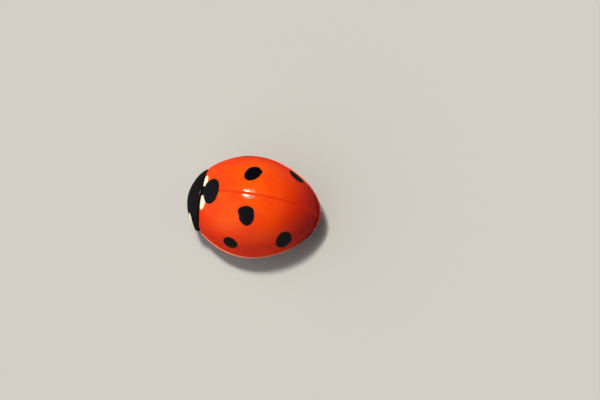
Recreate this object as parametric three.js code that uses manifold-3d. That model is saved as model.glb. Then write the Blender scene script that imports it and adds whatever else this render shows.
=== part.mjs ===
// A seven-spot ladybird, Coccinella septempunctata, at rest with its legs and feelers drawn in.
// Millimetres, +Z up, head towards -Y, the beetle's left side towards +X, feet on z = 0.
// Inside the body group, y is counted from the base of the wing cases.
import * as THREE from "three";
import { mergeVertices } from "three/addons/utils/BufferGeometryUtils.js";
import Module from "manifold-3d";

const wasm = await Module();
wasm.setup();

const at = (x, y, z) => new THREE.Vector3(x, y, z);

// ---------------------------------------------------------------- driving dimensions

const ELYTRA_LENGTH = 5.74;
const ELYTRA_HALF_WIDTH = 2.59;
const WIDEST_AT = 2.37;
const MARGIN_HEIGHT = 1.35;
const CROWN_HEIGHT = 2.68;
const SHELL = 0.5;
const RIM_WIDTH = 0.13;
const RIM_THICKNESS = 0.1;
const GAP = 0.03;

// A curve that falls from 1 to 0 within reach as (1 - t ** rise) ** (1 / fall).
const OUTLINE_FRONT = { reach: 3.77, rise: 2.1, fall: 1.08 };
const OUTLINE_REAR = { reach: ELYTRA_LENGTH - WIDEST_AT, rise: 1.76, fall: 1.77 };
const CROWN_FRONT = { reach: 3.2, rise: 2.06, fall: 2.06 };
const CROWN_REAR = { reach: ELYTRA_LENGTH - WIDEST_AT, rise: 2.06, fall: 2.06 };
// Every cross-section of the dome is half a superellipse of this power.
const SECTION_POWER = 2.24;
// The side margin rises a little towards the shoulder.
const SHOULDER_RISE = 0.08;
const SHOULDER_RISE_LENGTH = 1.5;

// The shield and the head are turned a little to the beetle's right and stand a little to its left.
const HEAD_TURN_DEG = -3;
const HEAD_SHIFT = 0.06;

const PRONOTUM_HALF_WIDTH = 1.61;
const PRONOTUM_REACH = 0.93;
const PRONOTUM_RISE = 1.78;
const PRONOTUM_TAPER = 1.45;
const PRONOTUM_EDGE_SLOPE_DEG = 29;
const PRONOTUM_REAR_CORNER_HEIGHT = MARGIN_HEIGHT + 0.2;
const FACE_OPENING = { halfWidth: 0.95, halfHeight: 0.72, top: MARGIN_HEIGHT + 0.36 };

const SCUTELLUM_HALF_WIDTH = 0.2;
const SCUTELLUM_LENGTH = 0.32;
const SCUTELLUM_THICKNESS = 0.3;

const HEAD_CENTRE = at(0, -0.36, MARGIN_HEIGHT - 0.1);
const HEAD_RADII = at(0.88, 0.5, 0.6);
const NECK_AT = -0.16;
const EYE_CENTRE = at(0.71, -0.45, MARGIN_HEIGHT);
const EYE_RADII = at(0.26, 0.27, 0.35);
const LABRUM_CENTRE = at(0, -0.79, 0.86);
const LABRUM_RADII = at(0.34, 0.12, 0.13);
const MANDIBLE_CENTRE = at(0.17, -0.64, 0.65);
const MANDIBLE_RADII = at(0.15, 0.21, 0.13);
const PALP_CENTRE = at(0.46, -0.68, 0.7);
const PALP_RADII = at(0.16, 0.2, 0.18);

const FEELER_PATH = [
  at(0.5, -0.62, 1.12),
  at(0.76, -0.68, 0.92),
  at(0.98, -0.58, 0.72),
  at(1.08, -0.44, 0.58),
];
const FEELER_RADIUS = 0.24;
const FEELER_CLUB_RADIUS = 0.26;

const BELLY_DEPTH = 0.17;
const THORAX_END = 2.1;
const ABDOMEN_END = 5.3;

const LEG_RADIUS = 0.25;
const THIGH_RADIUS = 0.27;
const SOLE_DEPTH = 0.22;
const HIP_RADII = at(0.3, 0.28, 0.4);
// The joints of the three legs of the left side, from the hip to the claws.
const LEGS = [
  {
    name: "front",
    hip: at(0.4, -0.12, 0.9),
    knee: at(1.38, 0.26, 0.84),
    ankle: at(0.8, 0.08, 0.34),
    claws: at(0.62, -0.58, SOLE_DEPTH),
  },
  {
    name: "middle",
    hip: at(0.62, 0.95, 0.88),
    knee: at(2.05, 1.42, 0.88),
    ankle: at(1.72, 2.2, 0.34),
    claws: at(1.86, 2.94, SOLE_DEPTH),
  },
  {
    name: "hind",
    hip: at(0.5, 1.95, 0.88),
    knee: at(1.84, 2.75, 0.92),
    ankle: at(1.3, 3.72, 0.34),
    claws: at(1.3, 4.46, SOLE_DEPTH),
  },
];

// Longer than the beetle: for the blocks that only cut.
const FAR = 20;

// How finely each form is faceted: steps round it, and steps along it.
const SHELL_FACETS = [32, 22];
const LINING_FACETS = [18, 12];
const HOOD_FACETS = [24, 14];
const HEAD_FACETS = [20, 12];
const EYE_FACETS = [12, 8];
const KNOB_FACETS = [10, 6];
const ROD_FACETS = [8, 6];
const RIM_STEPS = 24;
const ARCH_STEPS = 20;

// ---------------------------------------------------------------- materials

function material(color, roughness) {
  return new THREE.MeshStandardMaterial({ color, roughness, metalness: 0 });
}

const wingCaseRed = material(0xe0401a, 0.25);
const shieldBlack = material(0x0a0a0c, 0.3);
const bodyBlack = material(0x161416, 0.5);
const eyeBlack = material(0x08080a, 0.2);
const feelerBrown = material(0x4a2c1c, 0.5);

// ---------------------------------------------------------------- solids

// A closed geometry as a solid that can be joined and cut.
function solid(geometry) {
  const bare = geometry.clone();
  bare.deleteAttribute("normal");
  bare.deleteAttribute("uv");
  const merged = mergeVertices(bare, 1e-5);
  const mesh = new wasm.Mesh({
    numProp: 3,
    vertProperties: new Float32Array(merged.attributes.position.array),
    triVerts: new Uint32Array(merged.index.array),
  });
  return new wasm.Manifold(mesh);
}

function geometryOf(form) {
  const mesh = form.getMesh();
  const geometry = new THREE.BufferGeometry();
  geometry.setAttribute("position", new THREE.BufferAttribute(new Float32Array(mesh.vertProperties), 3));
  geometry.setIndex(new THREE.BufferAttribute(new Uint32Array(mesh.triVerts), 1));
  const faceted = geometry.toNonIndexed();
  faceted.computeVertexNormals();
  return faceted;
}

// Moves every vertex of a geometry to where move puts it.
function shaped(geometry, move) {
  const position = geometry.getAttribute("position");
  const vertex = at(0, 0, 0);
  for (let i = 0; i < position.count; i += 1) {
    move(vertex.fromBufferAttribute(position, i));
    position.setXYZ(i, vertex.x, vertex.y, vertex.z);
  }
  return geometry;
}

function block(low, high) {
  const size = at(0, 0, 0).subVectors(high, low);
  const centre = at(0, 0, 0).addVectors(high, low).multiplyScalar(0.5);
  return solid(new THREE.BoxGeometry(size.x, size.y, size.z).translate(centre.x, centre.y, centre.z));
}

const between = (front, rear) => block(at(-FAR, front, -FAR), at(FAR, rear, FAR));
const leftHalf = block(at(GAP / 2, -FAR, -FAR), at(FAR, FAR, FAR));
const aboveFloor = block(at(-FAR, -FAR, 0), at(FAR, FAR, FAR));

function ellipsoid(centre, radii, grown = 0, facets = KNOB_FACETS) {
  const geometry = new THREE.SphereGeometry(1, ...facets);
  geometry.scale(radii.x + grown, radii.y + grown, radii.z + grown);
  return solid(geometry.translate(centre.x, centre.y, centre.z));
}

// A straight rod with round ends that runs from one point to another.
function rod(from, to, radius, grown = 0) {
  const axis = at(0, 0, 0).subVectors(to, from);
  const length = axis.length() + 2 * grown;
  const [sides, rows] = ROD_FACETS;
  const profile = [];
  for (let i = 0; i <= rows; i += 1) {
    const along = -Math.cos((Math.PI * i) / rows);
    const roundness = Math.max(0, 1 - along ** 4) ** 0.25;
    profile.push(new THREE.Vector2((radius + grown) * roundness, (length / 2) * along));
  }
  const geometry = new THREE.LatheGeometry(profile, sides);
  const turn = new THREE.Quaternion().setFromUnitVectors(at(0, 1, 0), axis.normalize());
  const middle = at(0, 0, 0).addVectors(from, to).multiplyScalar(0.5);
  return solid(geometry.applyQuaternion(turn).translate(middle.x, middle.y, middle.z));
}

// ---------------------------------------------------------------- the dome of the wing cases

const signedPower = (value, power) => Math.sign(value) * Math.abs(value) ** power;

function fallOff(curve, distance, inset = 0) {
  const along = Math.min(1, distance / (curve.reach - inset));
  return (1 - along ** curve.rise) ** (1 / curve.fall);
}

function marginHeightAt(y) {
  const towardsBase = Math.max(0, 1 - y / SHOULDER_RISE_LENGTH);
  return MARGIN_HEIGHT + SHOULDER_RISE * towardsBase ** 2;
}

// How wide and how high the dome is at y when it is drawn in by inset from the rim's outline.
function domeAt(y, inset) {
  const distance = Math.abs(y - WIDEST_AT);
  const behind = y > WIDEST_AT;
  const outline = behind ? fallOff(OUTLINE_REAR, distance, inset) : fallOff(OUTLINE_FRONT, distance);
  const crownLine = behind ? fallOff(CROWN_REAR, distance, inset) : fallOff(CROWN_FRONT, distance);
  const rise = marginHeightAt(y) - MARGIN_HEIGHT;
  return {
    halfWidth: (ELYTRA_HALF_WIDTH - inset) * outline,
    height: (CROWN_HEIGHT + RIM_WIDTH - inset) * crownLine - rise,
  };
}

// The whole dome as one solid, with an underside that bulges down by depth at its middle.
function dome(inset, depth, facets = LINING_FACETS) {
  const frontReach = WIDEST_AT + SHELL;
  const rearReach = ELYTRA_LENGTH - WIDEST_AT - inset;
  const sphere = new THREE.SphereGeometry(1, ...facets);
  return solid(
    shaped(sphere, (p) => {
      const y = WIDEST_AT + p.y * (p.y > 0 ? rearReach : frontReach);
      const ring = Math.hypot(p.x, p.z) || 1;
      const across = signedPower(p.x / ring, 2 / SECTION_POWER);
      const up = signedPower(p.z / ring, 2 / SECTION_POWER);
      const { halfWidth, height } = domeAt(y, inset);
      const bulge = depth * Math.min(1, halfWidth / SHELL);
      p.set(halfWidth * across, y, marginHeightAt(y) + up * (up > 0 ? height : bulge));
    }),
  );
}

// The thin rim that stands out all round the dome's foot.
function rim() {
  const leftEdge = [];
  for (let i = 0; i <= RIM_STEPS; i += 1) {
    const y = ELYTRA_LENGTH * Math.sin((Math.PI / 2) * (i / RIM_STEPS));
    leftEdge.push(new THREE.Vector2(domeAt(y, 0).halfWidth, y));
  }
  const rightEdge = leftEdge.slice(0, -1).map((p) => new THREE.Vector2(-p.x, p.y));
  const outline = new THREE.Shape([...leftEdge, ...rightEdge.reverse()]);
  const plate = new THREE.ExtrudeGeometry(outline, { depth: RIM_THICKNESS, bevelEnabled: false });
  return solid(shaped(plate, (p) => p.setZ(p.z + marginHeightAt(p.y))));
}

const outerDome = dome(RIM_WIDTH, 0, SHELL_FACETS);

// The scutellum is the small triangle between the bases of the wing cases.
function scutellumWedge(grown) {
  const triangle = new THREE.Shape();
  triangle.moveTo(-SCUTELLUM_HALF_WIDTH - grown, 0);
  triangle.lineTo(SCUTELLUM_HALF_WIDTH + grown, 0);
  triangle.lineTo(0, SCUTELLUM_LENGTH + 2 * grown);
  const wedge = solid(new THREE.ExtrudeGeometry(triangle, { depth: FAR, bevelEnabled: false }));
  const lowerHalf = block(at(-FAR, -FAR, -FAR), at(FAR, FAR, MARGIN_HEIGHT + CROWN_HEIGHT / 2));
  return wedge.subtract(dome(RIM_WIDTH + SCUTELLUM_THICKNESS + grown, 0)).subtract(lowerHalf);
}

function wingCase() {
  const hollow = dome(RIM_WIDTH + SHELL, MARGIN_HEIGHT);
  const bothCases = outerDome.add(rim()).intersect(between(0, FAR)).subtract(hollow);
  return bothCases.subtract(scutellumWedge(GAP)).intersect(leftHalf);
}

const scutellum = () => scutellumWedge(0).intersect(outerDome);

// ---------------------------------------------------------------- the shield and the head

// The shield and the head are made straight, and then turned into their place.
const toBody = (form) => form.rotate([0, 0, HEAD_TURN_DEG]).translate([HEAD_SHIFT, 0, 0]);
const toHead = (form) => form.translate([-HEAD_SHIFT, 0, 0]).rotate([0, 0, -HEAD_TURN_DEG]);

// The hood that carries the dome's curve on, down in front of the wing cases.
function hood(inset, depth) {
  return solid(
    shaped(new THREE.SphereGeometry(1, ...HOOD_FACETS), (p) => {
      const ring = Math.hypot(p.x, p.z) || 1;
      const across = signedPower(p.x / ring, 2 / SECTION_POWER) * ring ** PRONOTUM_TAPER;
      const up = signedPower(p.z / ring, 2 / SECTION_POWER) * ring;
      const height = up > 0 ? PRONOTUM_RISE - inset : depth;
      const x = across * (PRONOTUM_HALF_WIDTH - inset);
      const y = p.y * (PRONOTUM_REACH - inset);
      p.set(x, y, MARGIN_HEIGHT + up * height);
    }),
  );
}

// The space in front of the arch that frames the face.
function faceOpening() {
  const tunnel = new THREE.CylinderGeometry(1, 1, FAR, ARCH_STEPS);
  tunnel.scale(FACE_OPENING.halfWidth, 1, FACE_OPENING.halfHeight);
  const centreHeight = FACE_OPENING.top - FACE_OPENING.halfHeight;
  return solid(tunnel.translate(0, -FAR / 2 - SHELL / 2, centreHeight));
}

// Everything below the shield's side edges, which run down towards the front corners.
function belowShield() {
  const slab = new THREE.BoxGeometry(FAR, FAR, FAR);
  slab.translate(0, 0, -FAR / 2);
  slab.rotateX(THREE.MathUtils.degToRad(PRONOTUM_EDGE_SLOPE_DEG));
  return solid(slab.translate(0, 0, PRONOTUM_REAR_CORNER_HEIGHT));
}

const wholeHead = (grown) => ellipsoid(HEAD_CENTRE, HEAD_RADII, grown, HEAD_FACETS);

function pronotum() {
  const shell = hood(0, PRONOTUM_RISE).subtract(hood(SHELL, FAR));
  const plate = shell.intersect(toHead(between(-FAR, -GAP))).subtract(belowShield());
  return plate.subtract(faceOpening()).subtract(wholeHead(GAP)).subtract(eyes(GAP));
}

const eye = (grown) => ellipsoid(EYE_CENTRE, EYE_RADII, grown, EYE_FACETS);
const eyes = (grown) => eye(grown).add(eye(grown).mirror([1, 0, 0]));

const head = () => wholeHead(0).intersect(between(-FAR, NECK_AT)).subtract(eyes(GAP));

const besideHead = (form) => form.subtract(wholeHead(GAP)).subtract(eyes(GAP));
const labrum = () => besideHead(ellipsoid(LABRUM_CENTRE, LABRUM_RADII));
const palp = () => besideHead(ellipsoid(PALP_CENTRE, PALP_RADII));

function mandible() {
  const jaw = besideHead(ellipsoid(MANDIBLE_CENTRE, MANDIBLE_RADII)).intersect(leftHalf);
  return jaw.subtract(ellipsoid(LABRUM_CENTRE, LABRUM_RADII, GAP));
}

function feeler() {
  const path = new THREE.CatmullRomCurve3(FEELER_PATH);
  const section = new THREE.Shape();
  section.absarc(0, 0, FEELER_RADIUS, 0, 2 * Math.PI);
  const [sides, steps] = ROD_FACETS;
  const stem = new THREE.ExtrudeGeometry(section, { steps, curveSegments: sides / 2, extrudePath: path });
  const tip = FEELER_PATH[FEELER_PATH.length - 1];
  const club = ellipsoid(tip, at(1, 1, 1).multiplyScalar(FEELER_CLUB_RADIUS), 0, ROD_FACETS);
  return besideHead(solid(stem).add(club)).subtract(ellipsoid(PALP_CENTRE, PALP_RADII, GAP));
}

// ---------------------------------------------------------------- thorax, abdomen and legs

const hip = (leg, grown) => ellipsoid(leg.hip, HIP_RADII, grown);
const bothSides = (form) => form.add(form.mirror([1, 0, 0]));
const underparts = () => dome(RIM_WIDTH + SHELL + GAP, BELLY_DEPTH);

// The room that the head takes up between the parts that don't turn with it.
const headRoom = () => toBody(wholeHead(GAP).intersect(between(-FAR, NECK_AT + GAP)).add(eyes(GAP)));

function prosternum() {
  const fill = toBody(hood(SHELL + GAP, BELLY_DEPTH)).intersect(between(NECK_AT - SHELL, -GAP));
  const hips = bothSides(hip(LEGS[0], 0)).intersect(between(-FAR, -GAP));
  return fill.add(hips).subtract(headRoom());
}

function thorax() {
  const hips = bothSides(hip(LEGS[1], 0).add(hip(LEGS[2], 0)));
  return underparts().add(hips).intersect(between(0, THORAX_END - GAP));
}

const abdomen = () => underparts().intersect(between(THORAX_END, ABDOMEN_END));

const thighRod = (leg, grown) => rod(leg.hip, leg.knee, THIGH_RADIUS, grown);
const shinRod = (leg, grown) => rod(leg.knee, leg.ankle, LEG_RADIUS, grown);
const footRod = (leg, grown) => rod(leg.ankle.clone().setZ(SOLE_DEPTH), leg.claws, LEG_RADIUS, grown);

const thigh = (leg) => thighRod(leg, 0).subtract(hip(leg, GAP)).subtract(headRoom());
const shin = (leg) => shinRod(leg, 0).subtract(thighRod(leg, GAP));
const foot = (leg) => footRod(leg, 0).subtract(shinRod(leg, GAP)).intersect(aboveFloor);

// ---------------------------------------------------------------- the whole beetle

const body = new THREE.Group();
const headGroup = new THREE.Group();
headGroup.position.x = HEAD_SHIFT;
headGroup.rotation.z = THREE.MathUtils.degToRad(HEAD_TURN_DEG);
body.add(headGroup);

function addMesh(parent, name, form, paint) {
  const mesh = new THREE.Mesh(geometryOf(form), paint);
  mesh.name = name;
  parent.add(mesh);
  return mesh;
}

// A piece of the left side and its mirror image on the right.
function addPair(parent, name, form, paint) {
  addMesh(parent, `${name}_left`, form, paint);
  addMesh(parent, `${name}_right`, form, paint).scale.x = -1;
}

addPair(body, "elytron", wingCase(), wingCaseRed);
addMesh(body, "scutellum", scutellum(), shieldBlack);
addMesh(headGroup, "pronotum", pronotum(), shieldBlack);
addMesh(headGroup, "head", head(), shieldBlack);
addPair(headGroup, "eye", eye(0), eyeBlack);
addMesh(headGroup, "labrum", labrum(), feelerBrown);
addPair(headGroup, "mandible", mandible(), feelerBrown);
addPair(headGroup, "palp", palp(), feelerBrown);
addPair(headGroup, "antenna", feeler(), feelerBrown);
addMesh(body, "prosternum", prosternum(), bodyBlack);
addMesh(body, "thorax", thorax(), bodyBlack);
addMesh(body, "abdomen", abdomen(), bodyBlack);
for (const leg of LEGS) {
  addPair(body, `leg_${leg.name}_femur`, thigh(leg), bodyBlack);
  addPair(body, `leg_${leg.name}_tibia`, shin(leg), bodyBlack);
  addPair(body, `leg_${leg.name}_tarsus`, foot(leg), bodyBlack);
}

// The frame's origin lies on the floor, under the middle of the beetle.
const middle = new THREE.Box3().setFromObject(body, true).getCenter(at(0, 0, 0));
body.position.y = -middle.y;

const ladybird = new THREE.Group();
ladybird.add(body);
export default ladybird;
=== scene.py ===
"""A seven-spot ladybird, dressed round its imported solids.

Body coordinates are millimetres: x to the beetle's left, y to the rear from the base of the wing
cases, z up from the floor. The frame's wing cases give the scale and the place of that origin.
"""

import math

import bmesh
import bpy
import numpy as np
from mathutils import Matrix, Vector


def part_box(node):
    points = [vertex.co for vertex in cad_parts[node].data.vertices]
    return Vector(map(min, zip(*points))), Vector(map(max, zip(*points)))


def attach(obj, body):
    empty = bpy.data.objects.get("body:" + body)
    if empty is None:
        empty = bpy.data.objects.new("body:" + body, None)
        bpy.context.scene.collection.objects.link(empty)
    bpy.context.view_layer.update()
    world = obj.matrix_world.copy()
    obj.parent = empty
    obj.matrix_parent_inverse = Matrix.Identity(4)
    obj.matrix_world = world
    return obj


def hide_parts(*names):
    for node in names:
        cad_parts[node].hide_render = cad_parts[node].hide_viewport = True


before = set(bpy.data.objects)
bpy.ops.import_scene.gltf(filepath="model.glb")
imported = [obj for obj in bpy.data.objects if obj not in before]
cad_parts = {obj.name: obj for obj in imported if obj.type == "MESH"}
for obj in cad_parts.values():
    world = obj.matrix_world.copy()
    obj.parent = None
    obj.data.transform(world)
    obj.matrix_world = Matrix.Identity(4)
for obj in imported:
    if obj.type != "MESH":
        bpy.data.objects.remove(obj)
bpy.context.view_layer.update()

# ------------ dimensions of the solids

ELYTRA_LENGTH = 5.74
ELYTRA_HALF_WIDTH = 2.59
WIDEST_AT = 2.37
MARGIN_HEIGHT = 1.35
CROWN_HEIGHT = 2.68
SHELL = 0.5
RIM_WIDTH = 0.13
SECTION_POWER = 2.24
SHOULDER_RISE = 0.08
SHOULDER_RISE_LENGTH = 1.5
# A curve that falls from 1 to 0 within reach as (1 - t ** rise) ** (1 / fall).
OUTLINE_FRONT = {"reach": 3.77, "rise": 2.1, "fall": 1.08}
OUTLINE_REAR = {"reach": ELYTRA_LENGTH - WIDEST_AT, "rise": 1.76, "fall": 1.77}
CROWN_FRONT = {"reach": 3.2, "rise": 2.06, "fall": 2.06}
CROWN_REAR = {"reach": ELYTRA_LENGTH - WIDEST_AT, "rise": 2.06, "fall": 2.06}

HEAD_TURN_DEG = -3
HEAD_SHIFT = 0.06
PRONOTUM_HALF_WIDTH = 1.61
PRONOTUM_REACH = 0.93
PRONOTUM_RISE = 1.78
PRONOTUM_TAPER = 1.45
PRONOTUM_EDGE_SLOPE_DEG = 29
PRONOTUM_REAR_CORNER_HEIGHT = MARGIN_HEIGHT + 0.2
FACE_HALF_WIDTH = 0.95
FACE_HALF_HEIGHT = 0.72
FACE_TOP = MARGIN_HEIGHT + 0.36
SCUTELLUM_HALF_WIDTH = 0.2
SCUTELLUM_LENGTH = 0.32
HEAD_CENTRE = (0, -0.36, MARGIN_HEIGHT - 0.1)
HEAD_RADII = (0.88, 0.5, 0.6)
EYE_CENTRE = (0.71, -0.45, MARGIN_HEIGHT)
EYE_RADII = (0.26, 0.27, 0.35)
BELLY_DEPTH = 0.17
HIP_RADII = (0.3, 0.28, 0.4)
# The left legs. Ankles and claws give only x and y, as their heights are alike.
ANKLE_HEIGHT = 0.16
CLAW_HEIGHT = 0.1
LEGS = {
    "front": {
        "hip": (0.4, -0.12, 0.9), "knee": (1.38, 0.26, 0.84), "ankle": (0.8, 0.08), "claws": (0.62, -0.58)
    },
    "middle": {
        "hip": (0.62, 0.95, 0.88), "knee": (2.05, 1.42, 0.88), "ankle": (1.72, 2.2), "claws": (1.86, 2.94)
    },
    "hind": {
        "hip": (0.5, 1.95, 0.88), "knee": (1.84, 2.75, 0.92), "ankle": (1.3, 3.72), "claws": (1.3, 4.46)
    },
}

wing_case_low, wing_case_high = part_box("elytron_left")
MM = (wing_case_high.y - wing_case_low.y) / ELYTRA_LENGTH
ORIGIN = np.array([0.0, wing_case_low.y, 0.0])
SIDES = {"left": 1, "right": -1}

# Keeps a division off zero.
TINY = 1e-12


# ------------ forms of the body

def signed_power(value, power):
    return np.sign(value) * np.abs(value) ** power


def fall_off(curve, distance, inset=0.0):
    """The curve at that distance, with its reach cut short by inset."""
    along = np.minimum(1.0, distance / (curve["reach"] - inset))
    return (1 - along ** curve["rise"]) ** (1 / curve["fall"])


def margin_height(y):
    return MARGIN_HEIGHT + SHOULDER_RISE * np.maximum(0, 1 - y / SHOULDER_RISE_LENGTH) ** 2


def dome_at(y, inset):
    """Half width and height of the dome at y, drawn in by inset from the rim's outline."""
    distance = np.abs(y - WIDEST_AT)
    behind = y > WIDEST_AT
    outline = np.where(behind, fall_off(OUTLINE_REAR, distance, inset), fall_off(OUTLINE_FRONT, distance))
    crown = np.where(behind, fall_off(CROWN_REAR, distance, inset), fall_off(CROWN_FRONT, distance))
    rise = margin_height(y) - MARGIN_HEIGHT
    return (ELYTRA_HALF_WIDTH - inset) * outline, (CROWN_HEIGHT + RIM_WIDTH - inset) * crown - rise


def dome_height(x, y):
    """Height above the floor of the dome's surface over (x, y)."""
    half_width, height = dome_at(y, RIM_WIDTH)
    across = np.minimum(1.0, np.abs(x) / np.maximum(half_width, TINY))
    return margin_height(y) + height * (1 - across ** SECTION_POWER) ** (1 / SECTION_POWER)


def hood(angle, forward):
    """A point of the shield's surface.

    angle goes round it from its left edge, and forward from its base to its front.
    """
    ring = np.cos(forward)
    across = signed_power(np.cos(angle), 2 / SECTION_POWER) * ring**PRONOTUM_TAPER
    up = signed_power(np.sin(angle), 2 / SECTION_POWER) * ring
    x = across * PRONOTUM_HALF_WIDTH
    y = -np.sin(forward) * PRONOTUM_REACH
    z = MARGIN_HEIGHT + up * PRONOTUM_RISE
    return np.stack([x, y, z], axis=-1)


def turned(points):
    """Turns what belongs to the head and the shield to its place on the body."""
    angle = math.radians(HEAD_TURN_DEG)
    x, y, z = np.moveaxis(np.asarray(points, float), -1, 0)
    across = x * math.cos(angle) - y * math.sin(angle) + HEAD_SHIFT
    rearward = x * math.sin(angle) + y * math.cos(angle)
    return np.stack([across, rearward, z], axis=-1)


def hill(value, centre, width, power=2):
    """1 at the centre and about a third at width from it, with a flatter top the higher the power."""
    return np.exp(-(((value - centre) / width) ** power))


def eased(count):
    """Shares of a way, from 0 to 1, that lie closest together at both ends."""
    return (1 - np.cos(np.linspace(0, math.pi, count))) / 2


# ------------ closed surfaces

def grid_normals(grid):
    """Unit normals that point away from the middle of the body."""
    normal = np.cross(np.gradient(grid, axis=0), np.gradient(grid, axis=1))
    length = np.linalg.norm(normal, axis=-1, keepdims=True)
    outward = np.sign((normal * (grid - (0, WIDEST_AT, MARGIN_HEIGHT))).sum(axis=-1, keepdims=True))
    return outward * normal / np.maximum(length, TINY)


def edge_distance(grid):
    """How far each point of an open grid lies from its border, along rows or columns."""
    def along(axis):
        steps = np.linalg.norm(np.diff(grid, axis=axis), axis=-1)
        start = np.zeros_like(np.take(steps, [0], axis=axis))
        walked = np.concatenate([start, np.cumsum(steps, axis=axis)], axis=axis)
        total = np.take(walked, [-1], axis=axis)
        return np.minimum(walked, total - walked)
    return np.minimum(along(0), along(1))


def quads(rows, columns, offset=0, flip=False):
    """The faces of an open grid whose points start at offset."""
    faces = []
    for i in range(rows - 1):
        for j in range(columns - 1):
            a = offset + i * columns + j
            face = (a, a + 1, a + columns + 1, a + columns)
            faces.append(face[::-1] if flip else face)
    return faces


def ring_faces(count, around):
    """The faces between closed rings, each joined to the next."""
    faces = []
    for i in range(count - 1):
        for j in range(around):
            k = (j + 1) % around
            faces.append((i * around + j, i * around + k, (i + 1) * around + k, (i + 1) * around + j))
    return faces


class Form:
    """Vertices in body coordinates and faces, gathered from closed surfaces."""

    def __init__(self):
        self.points = []
        self.faces = []

    def add(self, points, faces):
        offset = len(self.points)
        self.points.extend(np.asarray(points, float).reshape(-1, 3).tolist())
        self.faces.extend([tuple(offset + i for i in face) for face in faces])
        return self

    def rings(self, rings):
        """Closed rings joined one to the next, with both ends closed by a fan."""
        count, around = rings.shape[:2]
        faces = ring_faces(count, around)
        ends = [rings[0].mean(axis=0), rings[-1].mean(axis=0)]
        first = count * around
        last = first + 1
        for j in range(around):
            k = (j + 1) % around
            faces.append((first, k, j))
            faces.append((last, (count - 1) * around + j, (count - 1) * around + k))
        return self.add(np.concatenate([rings.reshape(-1, 3), ends]), faces)

    def plate(self, grid, thickness):
        """A plate of that thickness under an open grid, with a round edge all along its border."""
        normal = grid_normals(grid)
        depth = 1 - np.minimum(1, edge_distance(grid) / (thickness / 2))
        half = (thickness / 2) * np.sqrt(np.maximum(0, 1 - depth**2))[..., None]
        middle = grid - normal * thickness / 2
        above = (middle + normal * half).reshape(-1, 3)
        below = (middle - normal * half).reshape(-1, 3)
        rows, columns = grid.shape[:2]
        faces = quads(rows, columns) + quads(rows, columns, rows * columns, flip=True)
        return self.add(np.concatenate([above, below]), faces)

    def ball(self, centre, radii, move=None, around=32, along=20):
        """An ellipsoid, or what move makes of the unit sphere's points."""
        polar = np.linspace(0, math.pi, along + 1)[1:-1, None]
        turn = np.linspace(0, 2 * math.pi, around, endpoint=False)[None, :]
        x = np.sin(polar) * np.cos(turn)
        y = np.sin(polar) * np.sin(turn)
        sphere = np.stack([x, y, np.cos(polar) + 0 * turn], axis=-1)
        if move is not None:
            sphere = move(sphere)
        return self.rings(sphere * radii + centre)

    def limb(self, path, widths, depths, around=28, steps=36):
        """A rod with round ends along a smooth path, as wide and as deep at even steps as the lists say."""
        share = eased(steps)
        middle = smooth_path(path, share)
        length = np.linalg.norm(np.diff(middle, axis=0), axis=1).sum()
        ahead = np.gradient(middle, axis=0)
        ahead /= np.linalg.norm(ahead, axis=1, keepdims=True)
        aside = np.cross(ahead, (0, 0, 1.0))
        aside /= np.maximum(np.linalg.norm(aside, axis=1, keepdims=True), TINY)
        above = np.cross(aside, ahead)
        wide = smooth_path(np.reshape(widths, (-1, 1)), share)
        deep = smooth_path(np.reshape(depths, (-1, 1)), share)
        from_end = np.minimum(share, 1 - share)[:, None] * length
        short_of_full = 1 - np.minimum(1, from_end / np.maximum(wide, TINY))
        roundness = np.sqrt(np.clip(1 - short_of_full**2, 0.0, 1))
        angle = np.linspace(0, 2 * math.pi, around, endpoint=False)[None, :, None]
        sideways = wide[:, None] * np.cos(angle) * aside[:, None]
        upwards = deep[:, None] * np.sin(angle) * above[:, None]
        return self.rings(middle[:, None] + (sideways + upwards) * roundness[:, None])

    def segment(self, start, end, widths, depths):
        """A straight rod with round ends."""
        return self.limb((start, end), widths, depths, steps=30)


def smooth_path(points, share):
    """Points along the smooth curve through the given ones, at those shares of the way."""
    points = np.asarray(points, float)
    if len(points) < 3:
        return points[0] + share[:, None] * (points[1] - points[0])
    padded = np.concatenate([2 * points[:1] - points[1:2], points, 2 * points[-1:] - points[-2:-1]])
    where = share * (len(points) - 1)
    start = np.minimum(where.astype(int), len(points) - 2)
    t = (where - start)[:, None]
    p0, p1, p2, p3 = (padded[start + i] for i in range(4))
    return 0.5 * (
        2 * p1 + (p2 - p0) * t + (2 * p0 - 5 * p1 + 4 * p2 - p3) * t**2 + (3 * p1 - p0 - 3 * p2 + p3) * t**3
    )


# How close together two points are made one, and how short an edge is left out, in mm.
SAME_PLACE = 1e-4
NO_LENGTH = 1e-5


def piece(name, form, material, nodes, on_head=False):
    """Makes a Blender object of that form, which rides on the body and stands for those CAD nodes."""
    points = np.asarray(form.points)
    if on_head:
        points = turned(points)
    mesh = bpy.data.meshes.new(name)
    mesh.from_pydata((points * MM + ORIGIN).tolist(), [], form.faces)
    work = bmesh.new()
    work.from_mesh(mesh)
    bmesh.ops.remove_doubles(work, verts=work.verts, dist=SAME_PLACE * MM)
    bmesh.ops.dissolve_degenerate(work, edges=work.edges, dist=NO_LENGTH * MM)
    bmesh.ops.recalc_face_normals(work, faces=work.faces)
    work.to_mesh(mesh)
    work.free()
    mesh.shade_smooth()
    obj = bpy.data.objects.new(name, mesh)
    bpy.context.scene.collection.objects.link(obj)
    obj.data.materials.append(material)
    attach(obj, "root")
    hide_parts(*nodes)


# ------------ materials

# How wide the edge of a marking is, and how far the lobes of one spot run into one another.
EDGE_SOFTNESS = 0.025
LOBE_BLEND = 0.5


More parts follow.
